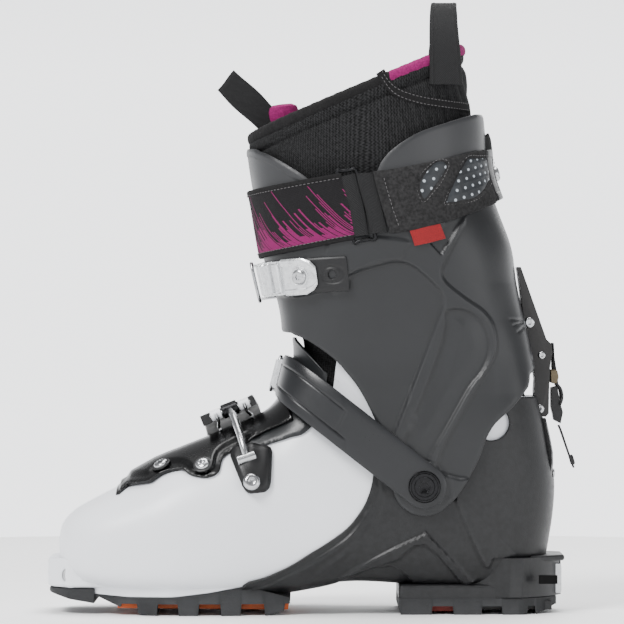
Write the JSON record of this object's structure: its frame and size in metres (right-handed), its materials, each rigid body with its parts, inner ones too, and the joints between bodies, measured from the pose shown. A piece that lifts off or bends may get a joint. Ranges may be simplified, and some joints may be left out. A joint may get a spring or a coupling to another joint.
{
  "type": "ski-touring boot",
  "caption": "Alpine touring ski boot for the right foot: rigid shell and hinged cuff with cable-style buckles, a power strap, a walk lever, a soft liner and a lugged sole.",
  "frame": {"origin": "on the ground, on the heel tread under the ankle pivots, in the boot's centre plane", "axes": "toe along -X, inner side of the foot along -Y, leg along +Z"},
  "size_m": [0.2884, 0.1099, 0.3337],
  "materials": {
    "white_shell": "satin moulded plastic",
    "dark_shell": "satin moulded plastic",
    "fibre_frame": "fibre-filled moulded plastic",
    "gloss_black": "glossy moulded plastic",
    "tread_rubber": "matt moulded rubber",
    "sole_core": "bright rubber inlay",
    "steel": "bright steel",
    "silver_buckle": "satin cast alloy",
    "black_plastic": "satin black plastic",
    "liner_knit": "black wavy knit over foam",
    "webbing": "woven webbing",
    "red_label": "woven label"
  },
  "bodies": {
    "shell": {"lower_shell": "white_shell", "heel_frame": "fibre_frame", "outsole_front": "tread_rubber", "outsole_heel": "tread_rubber", "sole_core": "sole_core", "toe_bumper": "tread_rubber", "toe_fitting": "steel", "heel_fitting": "steel", "heel_fitting_screw": "steel", "tongue_plate": "gloss_black", "tongue_plate_screw_front": "steel", "tongue_plate_screw_rear": "steel", "tongue_lower": "dark_shell", "toe_anchor": "black_plastic", "toe_anchor_screw": "steel", "toe_ladder": "silver_buckle", "heel_catch": "black_plastic", "heel_catch_screw": "steel", "ankle_bolt_near": "steel", "ankle_bolt_far": "steel", "liner_foot": "liner_knit", "liner_ankle": "liner_knit"},
    "cuff_body": {"cuff": "dark_shell", "rear_spoiler": "dark_shell", "tongue_upper": "dark_shell", "liner_cuff": "liner_knit", "pull_loop_front": "webbing", "pull_loop_rear": "webbing", "power_strap": "webbing", "strap_pad": "webbing", "strap_ring": "steel", "strap_label": "red_label", "strap_mount": "black_plastic", "strap_mount_screw": "steel", "cuff_ladder": "silver_buckle", "cuff_ladder_screw": "steel", "cuff_ladder_base": "black_plastic", "cuff_buckle_base": "black_plastic", "cuff_lever_pin": "steel", "walk_hinge_block": "steel", "walk_lever_bolt": "steel"},
    "cuff_lever_body": {"cuff_lever": "silver_buckle"},
    "cuff_bail_body": {"cuff_bail": "steel"},
    "band_body": {"instep_band": "dark_shell", "instep_strap": "dark_shell", "instep_ladder": "silver_buckle", "instep_lever_pin": "steel"},
    "instep_lever_body": {"instep_lever": "silver_buckle"},
    "instep_bail_body": {"instep_bail": "steel"},
    "toe_rod_body": {"toe_rod": "steel", "toe_axle": "steel", "toe_roller_front": "white_shell", "toe_roller_rear": "white_shell"},
    "toe_lever_body": {"toe_lever": "black_plastic"},
    "toe_bail_body": {"toe_bail": "steel"},
    "walk_lever_body": {"walk_lever": "black_plastic", "lock_bolt": "steel", "pull_webbing": "webbing", "pull_slider": "black_plastic", "pull_cord": "webbing"}
  },
  "joints": [
    {"name": "cuff_flex", "type": "hinge", "parent": "shell", "child": "cuff_body", "pos_m": [0, 0, 0.07], "axis": [0, -1, 0], "range_deg": [-15, 6], "deforming": ["liner_ankle"]},
    {"name": "cuff_lever_swing", "type": "hinge", "parent": "cuff_body", "child": "cuff_lever_body", "pos_m": [-0.06599, 0.04776, 0.18292], "axis": [-0.1511, 0.0451, 0.9875], "range_deg": [0, 110]},
    {"name": "cuff_bail_swing", "type": "hinge", "parent": "cuff_lever_body", "child": "cuff_bail_body", "pos_m": [-0.05837, 0.05064, 0.18342], "axis": [-0.1511, 0.0451, 0.9875], "range_deg": [-135, 0]},
    {"name": "instep_band_tilt", "type": "hinge", "parent": "shell", "child": "band_body", "pos_m": [0, 0, 0.07], "axis": [0, -1, 0], "range_deg": [-1.5, 2]},
    {"name": "instep_lever_swing", "type": "hinge", "parent": "band_body", "child": "instep_lever_body", "pos_m": [-0.06314, 0.04858, 0.11888], "axis": [0.5262, 0.0029, 0.8504], "range_deg": [0, 110]},
    {"name": "instep_bail_swing", "type": "hinge", "parent": "instep_lever_body", "child": "instep_bail_body", "pos_m": [-0.05693, 0.05109, 0.1143], "axis": [0.5262, 0.0029, 0.8504], "range_deg": [-135, 0]},
    {"name": "toe_rod_swing", "type": "hinge", "parent": "shell", "child": "toe_rod_body", "pos_m": [-0.09582, -0.04385, 0.08518], "axis": [0.9411, 0.1217, 0.3153], "range_deg": [0, 100]},
    {"name": "toe_lever_swing", "type": "hinge", "parent": "toe_rod_body", "child": "toe_lever_body", "pos_m": [-0.10529, -0.01421, 0.11087], "axis": [0.9321, 0.0334, 0.3607], "range_deg": [0, 110]},
    {"name": "toe_bail_swing", "type": "hinge", "parent": "toe_rod_body", "child": "toe_bail_body", "pos_m": [-0.10529, -0.01421, 0.11087], "axis": [0.9321, 0.0334, 0.3607], "range_deg": [0, 40]},
    {"name": "walk_lever_swing", "type": "hinge", "parent": "cuff_body", "child": "walk_lever_body", "pos_m": [0.0585, 0, 0.1582], "axis": [0, -1, 0], "range_deg": [0, 20]}
  ],
  "couplings": [
    {"joint": "cuff_bail_swing", "follows": "cuff_lever_swing", "ratio": -1.2},
    {"joint": "instep_bail_swing", "follows": "instep_lever_swing", "ratio": -1.2},
    {"joint": "toe_bail_swing", "follows": "toe_lever_swing", "ratio": 0.25}
  ]
}
